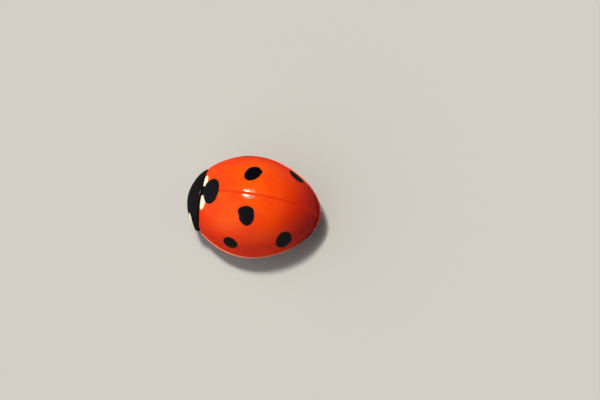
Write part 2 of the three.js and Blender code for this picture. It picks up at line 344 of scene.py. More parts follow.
class Nodes:
    """Short calls that make a tree's nodes and join them."""

    def __init__(self, tree):
        self.nodes = tree.nodes
        self.links = tree.links

    def put(self, socket, value):
        if isinstance(value, bpy.types.NodeSocket):
            self.links.new(value, socket)
        elif socket.type == "RGBA":
            socket.default_value = (*value, 1)
        else:
            socket.default_value = value

    def node(self, kind, *values, **settings):
        """A node with those settings, and with those values or links in its first inputs."""
        node = self.nodes.new(kind)
        for name, setting in settings.items():
            setattr(node, name, setting)
        for socket, value in zip(node.inputs, values):
            self.put(socket, value)
        return node

    def math(self, operation, *values):
        return self.node("ShaderNodeMath", *values, operation=operation).outputs["Value"]

    def dot(self, a, b):
        return self.node("ShaderNodeVectorMath", a, b, operation="DOT_PRODUCT").outputs["Value"]

    def step(self, value, start, end, first=0.0, last=1.0):
        """first up to start and last from end on, with a smooth change between. end may be the smaller."""
        if start > end:
            start, end, first, last = end, start, last, first
        values = (value, start, end, first, last)
        return self.node("ShaderNodeMapRange", *values, interpolation_type="SMOOTHSTEP").outputs["Result"]


class Paint(Nodes):
    """A material, with short calls for what the finishes share. Its textures go by body coordinates."""

    def __init__(self, name):
        self.material = bpy.data.materials.new(name)
        self.material.use_nodes = True
        super().__init__(self.material.node_tree)
        place = self.node("ShaderNodeTexCoord").outputs["Object"]
        shifted = self.node("ShaderNodeVectorMath", place, ORIGIN, operation="SUBTRACT").outputs["Vector"]
        scaled = self.node("ShaderNodeVectorMath", shifted, operation="SCALE")
        scaled.inputs["Scale"].default_value = 1 / MM
        self.place = scaled.outputs["Vector"]

    def mix(self, factor, a, b):
        node = self.node("ShaderNodeMix", factor, data_type="RGBA")
        self.put(node.inputs[6], a)
        self.put(node.inputs[7], b)
        return node.outputs[2]

    def fade(self, colour, new, value, start, full, share=1.0):
        """Mixes in the new colour: nothing of it where value is at start, and that share of it at full."""
        return self.mix(self.math("MULTIPLY", self.step(value, start, full), share), colour, new)

    def noise(self, scale, detail=2.0):
        node = self.node("ShaderNodeTexNoise", self.place)
        node.inputs["Scale"].default_value = scale
        node.inputs["Detail"].default_value = detail
        return node.outputs["Fac"]

    def cells(self, scale):
        """How far a point lies from the middle of its cell."""
        node = self.node("ShaderNodeTexVoronoi", self.place)
        node.inputs["Scale"].default_value = scale
        return node.outputs["Distance"]

    def wobble(self, scale, detail, size):
        """Noise round zero that makes the edge of a marking wavy."""
        return self.math("MULTIPLY_ADD", self.noise(scale, detail), size, -size / 2)

    def bump(self, height, distance, strength, below=None):
        node = self.node("ShaderNodeBump")
        node.inputs["Strength"].default_value = strength
        node.inputs["Distance"].default_value = distance * MM
        self.put(node.inputs["Height"], height)
        if below is not None:
            self.put(node.inputs["Normal"], below)
        return node.outputs["Normal"]

    def grain(self, scale, detail, depth, strength):
        """The normal of a fine rough skin."""
        return self.bump(self.noise(scale, detail), depth, strength)

    def pits(self, scale, depth, strength, floor=0.05, brim=0.2, below=None):
        """The normal of fine punctures, each deepest within floor of its middle and level from brim on."""
        return self.bump(self.step(self.cells(scale), floor, brim), depth, strength, below)

    def blot(self, lobes, wobble):
        """1 inside a spot of the wing case, whose lobes run into one another."""
        nearest = None
        for lobe in lobes:
            centre, rearward, outward = surface_frame(*lobe["at"])
            turn = math.radians(lobe["turn"])
            long_axis = rearward * math.cos(turn) + outward * math.sin(turn)
            short_axis = outward * math.cos(turn) - rearward * math.sin(turn)
            reach = self.reach(centre, ((long_axis, lobe["long"]), (short_axis, lobe["short"])))
            nearest = reach if nearest is None else self.math("SMOOTH_MIN", nearest, reach, LOBE_BLEND)
        return self.inside(nearest, lobes[0]["short"], wobble)

    def reach(self, centre, axes):
        """How far a point lies from centre, as a share of the radius along each of those axes."""
        square = 0.0
        for axis, radius in axes:
            here = self.dot(self.place, np.asarray(axis) / radius)
            offset = self.math("SUBTRACT", here, float(np.dot(centre, axis)) / radius)
            square = self.math("MULTIPLY_ADD", offset, offset, square)
        return self.math("SQRT", square)

    def inside(self, reach, radius, wobble):
        """1 where a reach is below 1, with a soft and wavy edge."""
        soft = EDGE_SOFTNESS / radius
        return self.step(self.math("ADD", reach, wobble), 1 + soft, 1 - soft)

    def spindle(self, centre, tip, radius, wobble):
        """1 inside a long round body from centre to its tip and as far the other way."""
        reach = np.linalg.norm(tip - centre)
        long_axis = (tip - centre) / reach
        first = np.cross(long_axis, (0, 1, 0))
        first /= np.linalg.norm(first)
        second = np.cross(long_axis, first)
        axes = ((long_axis, reach), (first, radius), (second, radius))
        return self.inside(self.reach(centre, axes), radius, wobble)

    def ball(self, centre, radii, wobble=0.0):
        """1 inside an ellipsoid that lies along the axes."""
        return self.inside(self.reach(centre, tuple(zip(np.eye(3), radii))), min(radii), wobble)

    def finish(self, colour, roughness, specular, coat=0.0, coat_roughness=0.2, coat_ior=2.0, normal=None):
        shader = self.nodes["Principled BSDF"]
        values = {
            "Base Color": colour,
            "Roughness": roughness,
            "Specular IOR Level": specular,
            "Coat Weight": coat,
            "Coat Roughness": coat_roughness,
            "Coat IOR": coat_ior,
            "Normal": normal,
        }
        for name, value in values.items():
            if value is not None:
                self.put(shader.inputs[name], value)
        return self.material


def surface_frame(x, y):
    """The dome's point over (x, y), and its tangents towards the rear and towards the side."""
    step = 1e-3
    height = float(dome_height(x, y))
    centre = np.array([x, y, height])
    outward = np.array([step, 0, float(dome_height(x + step, y)) - height])
    rearward = np.array([0, step, float(dome_height(x, y + step)) - height])
    normal = np.cross(outward, rearward)
    normal /= np.linalg.norm(normal)
    rearward /= np.linalg.norm(rearward)
    outward = np.cross(rearward, normal)
    return centre, rearward, outward * (1 if x >= 0 else -1)


# Linear colours.
ORANGE_RED = (0.85, 0.084, 0.003)
# The clouds' second tone. Towards the rear it is partly the wing case's own tone and partly painted shade.
RED = (0.82, 0.053, 0.003)
# Painted shade: a deeper red low on the flanks and in a soft band along the seam.
FLANK_SHADE_RED = (0.8, 0.024, 0.002)
# Painted shade: dark red at the rear and in a fine line in the seam's groove.
REAR_SHADE_RED = (0.36, 0.004, 0.002)
# A painted highlight on the rim's bead.
BEAD_HIGHLIGHT_PINK = (0.95, 0.4, 0.22)
# Painted shade on the rim's bead at the rear.
BEAD_SHADE_BROWN = (0.2, 0.03, 0.015)
CREAM = (0.86, 0.78, 0.55)
BLACK = (0.002, 0.002, 0.003)
FLOOR_GREY = (0.5, 0.49, 0.47)
# The darkest and the lightest colour of each mottled finish.
SHADES = {
    "shield": (BLACK, (0.009, 0.008, 0.009)),
    "head": (BLACK, (0.014, 0.011, 0.010)),
    "belly": ((0.008, 0.007, 0.007), (0.02, 0.016, 0.014)),
    "eye": ((0.003, 0.003, 0.003), (0.007, 0.006, 0.005)),
    "mouth": ((0.012, 0.007, 0.005), (0.035, 0.016, 0.009)),
    "feeler": ((0.09, 0.038, 0.016), (0.2, 0.09, 0.035)),
    "leg": ((0.008, 0.007, 0.007), (0.022, 0.017, 0.014)),
}

# What darkens the wing case's orange red in turn: the measure that it goes by, where the colour sets in
# and is at its fullest, and its share there. The first, a deeper red towards the rear, is partly the wing
# case's own tone and partly painted shade. The rest is painted shade: low on the flanks, at the rear and
# along the seam's groove. The rear's painted shade reaches further forward on the left.
REAR_SHADE_LEAN = 0.14
TONE_AND_PAINTED_SHADE = (
    # deeper red towards the rear: partly the wing case's own tone, partly painted shade
    {"colour": RED, "by": "y", "start": 2.6, "full": 4.4, "share": 1.0},
    # painted shade low on the flanks
    {"colour": FLANK_SHADE_RED, "by": "height", "start": 3.85, "full": 2.3, "share": 0.85},
    # painted shade at the rear, reaching further forward on the left
    {"colour": REAR_SHADE_RED, "by": "leaning y", "start": 3.65, "full": 5.8, "share": 0.95},
    # painted shade in the seam's groove: a soft band and a fine dark line
    {"colour": FLANK_SHADE_RED, "by": "from seam", "start": 0.14, "full": 0.0, "share": 0.4},
    {"colour": REAR_SHADE_RED, "by": "from seam", "start": 0.03, "full": 0.008, "share": 0.5},
)
CLOUDS = {"start": 0.38, "full": 0.62}
# The painted highlight on the rim's bead: the heights above the margin between which it fades out, and the
# stretch of y over which its pink turns into the brown of painted shade at the rear.
BEAD_PAINTED_LIGHT_TOP = {"start": 0.08, "full": 0.055}
BEAD_SHADE_STRETCH = {"start": 4.2, "full": 5.3}
BEAD_PAINTED_LIGHT_SHARE = 0.75
# The black neck between the scutellar spot and the shield: the edges of its side and of its end.
NECK_SIDE = (0.27, 0.21)
NECK_END = (0.3, 0.2)
CASE_ROUGHNESS = 0.42
CASE_ROUGHNESS_RANGE = 0.12

# The spots of each wing case and the lobes of each: where the centres lie, the radii and how far the
# first of them turns outwards from the rear.
SCUTELLAR_SPOT = [{"at": (0.03, 0.5), "long": 0.64, "short": 0.475, "turn": 90}]
SPOTS = {
    "left": [
        [
            {"at": (1.11, 2.52), "long": 0.46, "short": 0.37, "turn": 84},
            {"at": (0.86, 2.44), "long": 0.39, "short": 0.24, "turn": -8},
        ],
        [{"at": (2.225, 1.75), "long": 0.45, "short": 0.37, "turn": 125}],
        [{"at": (1.67, 4.31), "long": 0.62, "short": 0.415, "turn": 36}],
        SCUTELLAR_SPOT,
    ],
    "right": [
        [
            {"at": (-1.08, 2.43), "long": 0.485, "short": 0.36, "turn": 62},
            {"at": (-1.20, 2.73), "long": 0.16, "short": 0.12, "turn": 40},
        ],
        [{"at": (-2.29, 1.735), "long": 0.45, "short": 0.38, "turn": 125}],
        [{"at": (-1.64, 4.37), "long": 0.63, "short": 0.47, "turn": 36}],
        SCUTELLAR_SPOT,
    ],
}
CREAM_PATCH = {
    "left": [{"at": (0.54, 0.13), "long": 0.4, "short": 0.2, "turn": 108}],
    "right": [{"at": (-0.47, 0.11), "long": 0.36, "short": 0.15, "turn": 104}],
}


def painted_bead_light(paint, colour, y, z):
    """Paints a highlight on the rim's bead, which follows the margin up to the shoulder, and painted shade at
    the rear.
    """
    shoulder = paint.math("MULTIPLY_ADD", y, -1 / SHOULDER_RISE_LENGTH, 1.0)
    shoulder = paint.math("MAXIMUM", shoulder, 0.0)
    rise = paint.math("MULTIPLY", shoulder, shoulder)
    margin = paint.math("MULTIPLY_ADD", rise, SHOULDER_RISE, MARGIN_HEIGHT)
    above_margin = paint.math("SUBTRACT", z, margin)
    bead_light = paint.fade(BEAD_HIGHLIGHT_PINK, BEAD_SHADE_BROWN, y, **BEAD_SHADE_STRETCH)
    return paint.fade(colour, bead_light, above_margin, **BEAD_PAINTED_LIGHT_TOP, share=BEAD_PAINTED_LIGHT_SHARE)


def wing_case_black(paint, side, from_seam, y, wobble):
    """1 on the wing case's spots and on the neck of the scutellar spot."""
    neck = paint.math("MULTIPLY", paint.step(from_seam, *NECK_SIDE), paint.step(y, *NECK_END))
    black = 0.0
    for spot in SPOTS[side]:
        black = paint.math("MAXIMUM", black, paint.blot(spot, wobble))
    return paint.math("MAXIMUM", black, neck)


def wing_case_paint(side):
    """Red with black spots, a cream patch beside the scutellum, painted shade and a painted highlight on the
    rim's bead, under a thin clear coat.
    """
    paint = Paint("wing_case_" + side)
    x, y, z = paint.node("ShaderNodeSeparateXYZ", paint.place).outputs
    from_seam = paint.math("ABSOLUTE", x)
    # The measure for the rear's painted shade, which reaches further forward on the left.
    rear_shade_y = paint.math("MULTIPLY_ADD", x, REAR_SHADE_LEAN, y)
    measures = {"y": y, "height": z, "leaning y": rear_shade_y, "from seam": from_seam}
    wobble = paint.wobble(scale=2.6, detail=3.0, size=0.22)
    colour = paint.fade(ORANGE_RED, RED, paint.noise(0.9, 3.0), **CLOUDS)
    # A deeper red towards the rear, partly painted shade, then painted shade on the flanks, at the rear and
    # along the seam.
    for tint in TONE_AND_PAINTED_SHADE:
        measure = measures[tint["by"]]
        colour = paint.fade(colour, tint["colour"], measure, tint["start"], tint["full"], tint["share"])
    # A painted highlight on the rim's bead, turning into painted shade at the rear.
    colour = painted_bead_light(paint, colour, y, z)
    colour = paint.mix(paint.blot(CREAM_PATCH[side], wobble), colour, CREAM)
    colour = paint.mix(wing_case_black(paint, side, from_seam, y, wobble), colour, BLACK)
    grain = paint.grain(scale=45.0, detail=2.0, depth=0.002, strength=0.5)
    normal = paint.pits(scale=9.0, depth=0.008, strength=0.7, below=grain)
    roughness = paint.math("MULTIPLY_ADD", paint.noise(6.0), CASE_ROUGHNESS_RANGE, CASE_ROUGHNESS)
    return paint.finish(
        colour, roughness, specular=0.0, coat=0.06, coat_roughness=0.08, coat_ior=2.5, normal=normal
    )


# The middle and the upper tip of the cream patch at each front corner of the shield.
CREAM_CORNER = {
    "left": ((1.3, -0.45, 1.9), (1.05, -0.6, 2.5)),
    "right": ((-1.33, -0.45, 1.84), (-1.13, -0.58, 2.38)),
}
CREAM_CORNER_RADIUS = 0.27
# The left ones of two pairs: the cream dot beside each eye and the pale plate on each side of the breast.
CREAM_DOT = {"centre": (0.44, -0.76, 1.38), "radii": (0.075, 0.2, 0.085)}
PALE_PLATE = {"centre": (1.28, 0.62, 1.2), "radii": (0.22, 0.16, 0.3)}


def both_sides(point):
    return [np.asarray(point) * (sign, 1, 1) for sign in SIDES.values()]


def shield_paint():
    """Black with a cream patch at each front corner."""
    paint = Paint("shield_black")
    wobble = paint.wobble(scale=2.2, detail=3.0, size=0.2)
    colour = paint.mix(paint.noise(3.0), *SHADES["shield"])
    for corner in CREAM_CORNER.values():
        middle, tip = turned(corner)
        colour = paint.mix(paint.spindle(middle, tip, CREAM_CORNER_RADIUS, wobble), colour, CREAM)
    normal = paint.pits(scale=14.0, depth=0.004, strength=0.3)
    return paint.finish(colour, 0.45, specular=0.0, coat=0.05, coat_roughness=0.12, normal=normal)


def head_paint():
    """Black with a cream dot beside each eye."""
    paint = Paint("head_black")
    wobble = paint.wobble(scale=5.0, detail=2.0, size=0.3)
    colour = paint.mix(paint.noise(5.0), *SHADES["head"])
    for centre in both_sides(CREAM_DOT["centre"]):
        colour = paint.mix(paint.ball(turned(centre), CREAM_DOT["radii"], wobble), colour, CREAM)
    grain = paint.grain(scale=40.0, detail=3.0, depth=0.004, strength=0.6)
    normal = paint.pits(scale=16.0, depth=0.01, strength=1.0, floor=0.15, brim=0.5, below=grain)
    return paint.finish(colour, 0.45, specular=0.2, coat=0.1, normal=normal)


def belly_paint():
    """Black, with the pale plate on each side of the breast."""
    paint = Paint("belly_black")
    colour = paint.mix(paint.noise(4.0, 3.0), *SHADES["belly"])
    for centre in both_sides(PALE_PLATE["centre"]):
        colour = paint.mix(paint.ball(centre, PALE_PLATE["radii"]), colour, CREAM)
    normal = paint.pits(scale=12.0, depth=0.008, strength=0.6, floor=0.06, brim=0.24)
    return paint.finish(colour, 0.5, specular=0.3, coat=0.15, normal=normal)


def eye_paint():
    """Glossy black with fine raised facets."""
    paint = Paint("eye_black")
    colour = paint.mix(paint.noise(2.0), *SHADES["eye"])
    normal = paint.pits(scale=28.0, depth=-0.006, strength=0.8, floor=0.0, brim=0.6)
    return paint.finish(colour, 0.3, specular=0.05, coat=0.14, coat_roughness=0.06, normal=normal)


def chitin_paint(name, shades, roughness=0.45):
    """Horny skin with a fine grain, mottled between two colours."""
    paint = Paint(name)
    colour = paint.mix(paint.noise(6.0, 3.0), *shades)
    normal = paint.grain(scale=38.0, detail=3.0, depth=0.005, strength=0.6)
    return paint.finish(colour, roughness, specular=0.15, coat=0.1, normal=normal)


# ------------ the wing cases

# The rim's section from the dome's foot outwards, round its bead and in along the underside:
# how far each point is drawn in from the outline, and how high it lies above the margin.
RIM_SECTION = [
    (0.058, 0.060), (0.054, 0.051), (0.048, 0.047), (0.041, 0.049), (0.034, 0.056), (0.026, 0.062),
    (0.018, 0.063), (0.010, 0.060), (0.003, 0.051), (0.0, 0.040), (0.003, 0.021), (0.014, 0.007),
    (0.034, 0.0), (0.07, 0.0), (0.14, 0.006), (0.25, 0.014), (0.38, 0.018), (0.5, 0.012),
    (0.57, 0.002), (0.61, 0.004), (0.63, 0.03),
]
DOME_FOOT = RIM_SECTION[0][1]
FLARE_HEIGHT = 0.1
SEAM_WIDTH = 0.09
SEAM_DIP = 0.011
EDGE_ROLL = 0.07
# How the mesh lies: rows from the base to the widest place and on to the tip, and columns over the dome.
FRONT_ROWS = 70
REAR_ROWS = 90
DOME_COLUMNS = 64
CROWDING_AT_BASE = 1.7
CROWDING_AT_SEAM = 1.5


def wing_case_rows():
    """Where each row of the mesh crosses the body: its share of the way to the front and to the rear."""
    front = 1 - np.linspace(0, 1, FRONT_ROWS) ** CROWDING_AT_BASE
    rear = np.sin(np.linspace(0, math.pi / 2, REAR_ROWS))[1:]
    return np.concatenate([-front, rear])


def case_point(share, inset, across, up, lift):
    """Points of the wing case's section, share -1 at the base and 1 at the tip."""
    reach = np.where(share < 0, WIDEST_AT, ELYTRA_LENGTH - WIDEST_AT - inset)
    y = np.clip(WIDEST_AT + share * reach, 0, ELYTRA_LENGTH)
    roll = EDGE_ROLL - np.sqrt(np.maximum(0, EDGE_ROLL**2 - np.maximum(0, EDGE_ROLL - y) ** 2))
    half_width, height = dome_at(y, inset)
    half_width = np.maximum(half_width - roll, 0)
    height = np.maximum(height - roll - DOME_FOOT, 0)
    z = margin_height(y) + lift + height * up
    return np.stack([half_width * across, y, z], axis=-1)


def wing_case_outside(share):
    """The outer surface of the left wing case, from the seam down the dome and round the rim."""
    steps = np.linspace(0, 1, DOME_COLUMNS) ** CROWDING_AT_SEAM * math.pi / 2
    rim = np.array(RIM_SECTION[1:])
    dome_up = np.abs(np.cos(steps)) ** (2 / SECTION_POWER)
    flared = RIM_WIDTH - (RIM_WIDTH - RIM_SECTION[0][0]) * np.exp(-dome_up / FLARE_HEIGHT)
    inset = np.concatenate([flared, rim[:, 0]])[None, :]
    across = np.concatenate([np.sin(steps) ** (2 / SECTION_POWER), np.ones(len(rim))])[None, :]
    up = np.concatenate([dome_up, np.zeros(len(rim))])[None, :]
    lift = np.concatenate([np.full(len(steps), DOME_FOOT), rim[:, 1]])[None, :]
    points = case_point(share, inset, across, up, lift)
    beside_seam = np.maximum(0, 1 - points[..., 0] / SEAM_WIDTH)
    points[..., 2] -= SEAM_DIP * beside_seam**2 * (up > 0.5)
    return points


def wing_case_lining(share, columns):
    """The surface inside the shell, from the seam to the rim."""
    steps = np.linspace(0, math.pi / 2, columns)[None, :]
    inset = np.full_like(steps, RIM_WIDTH + SHELL)
    across = np.sin(steps) ** (2 / SECTION_POWER)
    up = np.abs(np.cos(steps)) ** (2 / SECTION_POWER)
    return case_point(share, inset, across, up, np.full_like(steps, DOME_FOOT))


def end_faces(rows, columns):
    """Closes the first and the last row between the outside and the lining."""
    faces = []
    for row in (0, rows - 1):
        start = row * 2 * columns
        last = start + 2 * columns - 1
        for j in range(columns - 1):
            face = (start + j, start + j + 1, last - j - 1, last - j)
            faces.append(face if row else face[::-1])
    return faces


def wing_case():
    """A closed shell, whose section runs along the outside and back along the lining."""
    share = wing_case_rows()[:, None]
    outside = wing_case_outside(share)
    columns = outside.shape[1]
    lining = wing_case_lining(share, columns)
    rings = np.concatenate([outside, lining[:, ::-1]], axis=1)
    rows, around = rings.shape[:2]
    return Form().add(rings, ring_faces(rows, around) + end_faces(rows, columns))


SCUTELLUM_TAPER = 0.85
SCUTELLUM_BULGE = 0.012
SCUTELLUM_THICKNESS = 0.09


def scutellum():
    """The small triangle between the bases of the wing cases, which lies on them."""
    share = np.linspace(0, 1, 24)[:, None]
    across = np.linspace(-1, 1, 33)[None, :]
    y = share * SCUTELLUM_LENGTH + 0 * across
    x = SCUTELLUM_HALF_WIDTH * (1 - share) ** SCUTELLUM_TAPER * across
    z = dome_height(x, y) + SCUTELLUM_BULGE * (1 - across**2)
    return Form().plate(np.stack([x, y, z], axis=-1), SCUTELLUM_THICKNESS)


# ------------ the shield

PRONOTUM_THICKNESS = 0.2
BASE_GAP = 0.015


def outside_face(points):
    """Above 0 where a point lies outside the arch round the face."""
    x, _, z = np.moveaxis(points, -1, 0)
    middle = FACE_TOP - FACE_HALF_HEIGHT
    return (x / FACE_HALF_WIDTH) ** 2 + ((z - middle) / FACE_HALF_HEIGHT) ** 2 - 1


def above_side_edge(points):
    """Above 0 where a point lies over the shield's side edge."""
    slope = math.tan(math.radians(PRONOTUM_EDGE_SLOPE_DEG))
    return points[..., 2] - (PRONOTUM_REAR_CORNER_HEIGHT + slope * points[..., 1])


def behind_base(points):
    """Above 0 where a point lies behind the shield's straight base."""
    return turned(points)[..., 1] + BASE_GAP


def crossing(function, low, high, rounds=40):
    """Where function turns from below 0 at low to above 0 at high."""
    for _ in range(rounds):
        middle = (low + high) / 2
        below = function(middle) < 0
        low = np.where(below, middle, low)
        high = np.where(below, high, middle)
    return (low + high) / 2


def pronotum_grid(rows=72, columns=181):
    """The shield's outer surface, from its base to its front edge and from its left side to its right."""
    depth = eased(rows)[:, None]
    across = np.sin(np.linspace(-math.pi / 2, math.pi / 2, columns))[None, :]

    def surface(angle):
        quarter = np.full_like(angle, math.pi / 2)
        base = crossing(lambda forward: behind_base(hood(angle, forward)), quarter / 2, -quarter / 4)
        front = crossing(lambda forward: outside_face(hood(angle, forward)), quarter, 0 * quarter)
        return hood(angle, base + depth * (front - base))

    top = np.full((rows, 1), math.pi / 2)
    left = crossing(lambda angle: above_side_edge(surface(angle)), -top, top)
    right = crossing(lambda angle: above_side_edge(surface(angle)), 3 * top, top)
    angle = np.where(across < 0, top + (top - left) * across, top + (right - top) * across)
    return surface(angle)


def pronotum():
    return Form().plate(pronotum_grid(), PRONOTUM_THICKNESS)


# ------------ the head

LABRUM_CENTRE = (0, -0.79, 0.86)
LABRUM_RADII = (0.34, 0.12, 0.13)
FEELER_PATH = ((0.5, -0.62, 1.12), (0.76, -0.68, 0.92), (0.98, -0.58, 0.72), (1.08, -0.44, 0.58))

# The head's relief, in shares of its radii. The edge over the mouth waves along its length.
CHIN_TAPER = 0.26
FACE_FLATTENING = 0.8
FACE_HOLLOW = 0.1
MOUTH_EDGE = -0.5
MOUTH_EDGE_WAVE = 0.06
MOUTH_EDGE_SHARPNESS = 0.012
LEDGE_DEPTH = 0.16
PIT_DEPTH = 0.12
SOCKET_DEPTH = 0.16
# Where each hill of the relief has its middle, how far it reaches and how flat its top is.
LEDGE_ACROSS = (0, 0.52, 6)
PIT = {"up": (-0.33, 0.14), "beside": (0.66, 0.1)}
SOCKET = {"up": (0.15, 0.5, 4), "beside": (0.84, 0.2, 4)}


def head_shape(sphere):
    """A ball made into a head, with a flat face, a mouth edge, and a pit and a socket on each side."""
    x, y, z = np.moveaxis(sphere, -1, 0)
    beside = np.abs(x)
    front = np.maximum(0, -y)
    below = np.maximum(0, -z)
    narrowed = x * (1 - CHIN_TAPER * below**2)
    flattened = np.where(y < 0, -(front**FACE_FLATTENING) * (1 - FACE_HOLLOW * front**2), y)
    edge = MOUTH_EDGE + MOUTH_EDGE_WAVE * np.cos(6 * x) * hill(x, 0, 0.5, 4)
    above = 1 / (1 + np.exp(-(z - edge) / MOUTH_EDGE_SHARPNESS))
    ledge = above * hill(z, edge, 0.3) * hill(x, *LEDGE_ACROSS) * front
    pit = hill(z, *PIT["up"]) * hill(beside, *PIT["beside"]) * front
    socket = hill(z, *SOCKET["up"]) * hill(beside, *SOCKET["beside"]) * front
    carved = flattened - LEDGE_DEPTH * ledge + PIT_DEPTH * pit + SOCKET_DEPTH * socket
    return np.stack([narrowed, carved, z], axis=-1)


def head():
    return Form().ball(HEAD_CENTRE, HEAD_RADII, head_shape, around=160, along=140)


# The notch in the front of each eye, in shares of its radii.
NOTCH_HEIGHT = -0.05
NOTCH_WIDTH = 0.22
NOTCH_REACH = 0.6
NOTCH_DEPTH = 0.22


def eye_shape(sphere):
    """A kidney-shaped eye: the head's edge bites into its front."""
    x, y, z = np.moveaxis(sphere, -1, 0)
    bite = hill(z, NOTCH_HEIGHT, NOTCH_WIDTH) * np.clip(-y, 0, 1) ** 2 * np.clip(NOTCH_REACH - x, 0, 1)
    return sphere * (1 - NOTCH_DEPTH * bite)[..., None]


def eye():
    return Form().ball(EYE_CENTRE, EYE_RADII, eye_shape, around=64, along=48)


# The upper lip's size, tilt and notch, in shares of its radii.
LIP_WIDTH = 0.78
LIP_THICKNESS = 0.55
LIP_HEIGHT = 0.8
LIP_TILT = 0.2
LIP_NOTCH_DEPTH = 0.22
LIP_NOTCH_WIDTH = 0.3


def lip_shape(sphere):
    """A thin plate with round corners and a shallow notch, tilted in towards the mouth."""
    x, y, z = np.moveaxis(sphere, -1, 0)
    notch = LIP_NOTCH_DEPTH * hill(x, 0, LIP_NOTCH_WIDTH) * np.maximum(0, -z)
    wide = signed_power(x, 0.75)
    tall = signed_power(z, 0.85)
    tilted = LIP_THICKNESS * y - LIP_TILT * tall
    return np.stack([LIP_WIDTH * wide, tilted, LIP_HEIGHT * tall + notch], axis=-1)


def labrum():
    return Form().ball(LABRUM_CENTRE, LABRUM_RADII, lip_shape, around=64, along=48)


def mandible():
    """A curved jaw that thins to a point."""
    back = ((0.33, -0.5, 0.74), (0.3, -0.64, 0.71), (0.22, -0.74, 0.68))
    tip = ((0.12, -0.79, 0.66), (0.02, -0.79, 0.66))
    widths = (0.09, 0.11, 0.09, 0.055, 0.015)
    depths = (0.06, 0.07, 0.055, 0.035, 0.01)
    return Form().limb(back + tip, widths, depths)


def overlapping(stations, share):
    """The stretches between the stations, each begun early by that share of its length."""
    stations = np.asarray(stations, float)
    return [(start - share * (end - start), end) for start, end in zip(stations, stations[1:])]


def palp():
    """A jointed mouth feeler that ends in a hatchet blade."""
    form = Form()
    joints = ((0.42, -0.48, 0.84), (0.53, -0.66, 0.82), (0.53, -0.77, 0.75))
    for start, end in overlapping(joints, 0.15):
        form.segment(start, end, widths=(0.025, 0.04, 0.05), depths=(0.025, 0.04, 0.045))
    blade = ((0.53, -0.76, 0.76), (0.51, -0.81, 0.68), (0.46, -0.84, 0.58))
    return form.limb(blade, widths=(0.03, 0.1, 0.12), depths=(0.03, 0.05, 0.035))


FEELER_SEGMENTS = 11
FEELER_ROOT = 0.06
FEELER_THREAD = 0.03
FEELER_CLUB = (0.05, 0.072, 0.066)


def feeler():
    """A thread of short segments with a compact club of three at its end."""
    stations = smooth_path(FEELER_PATH, np.linspace(0, 1, FEELER_SEGMENTS + 1))
    thread = [FEELER_THREAD] * (FEELER_SEGMENTS - 1 - len(FEELER_CLUB))
    form = Form()
    for (start, end), thick in zip(overlapping(stations, 0.2), (FEELER_ROOT, *thread, *FEELER_CLUB)):
        widths = (thick * 0.7, thick * 0.9, thick)
        depths = (thick * 0.6, thick * 0.8, thick * 0.85)
        form.segment(start, end, widths, depths)
    return form


# ------------ the underside

BODY_FRONT = -0.42
BODY_REAR = 5.28
BELLY_CLEARANCE = 0.66
BREAST_TOP = 1.0
FRONT_ROUNDING = 0.4
FRONT_NARROWING = 1.6 * BODY_FRONT
# How much of the room under the wing cases the body fills in height.
FILL = 0.97
# The belly's plates end in steps, and the breast has a groove across it and one along its middle.
STERNITE_ENDS = (2.5, 3.1, 3.6, 4.05, 4.45, 4.85)
PLATE_BOW = 0.1
STEP_LENGTH = 0.06
STEP_DEPTH = 0.035
GROOVE_WIDTH = 0.03
GROOVE_DEPTH = 0.03
CROSS_GROOVE_AT = 0.62
MIDDLE_GROOVE_AT = 1.45
MIDDLE_GROOVE_REACH = 0.4


def body_section(y):
    """Half the width of the body at y, and its height over the margin."""
    half_width, height = dome_at(np.maximum(y, 0.0), BELLY_CLEARANCE)
    narrowing = np.sqrt(np.maximum(0, 1 - (np.minimum(y, 0) / FRONT_NARROWING) ** 2))
    height = np.where(y < 0, np.minimum(height, BREAST_TOP), height)
    rounding = np.sqrt(np.clip((y - BODY_FRONT) / FRONT_ROUNDING, 0, 1))
    return half_width * narrowing, height * rounding * FILL


def underside(rows=260, around=160):
    """The front of the breast, the thorax and the abdomen in one skin."""
    y = (BODY_FRONT + (BODY_REAR - BODY_FRONT) * eased(rows))[:, None]
    angle = np.linspace(0, 2 * math.pi, around, endpoint=False)[None, :]
    half_width, height = body_section(y)
    bulge = BELLY_DEPTH * np.minimum(1, half_width / SHELL)
    across = signed_power(np.cos(angle), 2 / SECTION_POWER)
    up = signed_power(np.sin(angle), 2 / SECTION_POWER)
    x = half_width * across
    z = margin_height(np.maximum(y, 0)) + up * np.where(up > 0, height, bulge)
    bare = np.maximum(0, -up) ** 0.5
    bow = PLATE_BOW * across**2
    for end in STERNITE_ENDS:
        step = (y - (end + bow)) / STEP_LENGTH
        z = z + bare * STEP_DEPTH * np.where(step < 0, 0, hill(step, 0.5, 1))
    z = z + bare * GROOVE_DEPTH * hill(x, 0, GROOVE_WIDTH) * hill(y, MIDDLE_GROOVE_AT, MIDDLE_GROOVE_REACH, 4)
    z = z + bare * GROOVE_DEPTH * hill(y - CROSS_GROOVE_AT, bow, GROOVE_WIDTH)
    return Form().rings(np.stack([x, y + 0 * x, z], axis=-1))


# ------------ the legs

COXA_LIFT = 0.2
COXA_SHARES = (0.9, 0.66, 0.66)
TROCHANTER_RADII = (0.13, 0.13, 0.12)
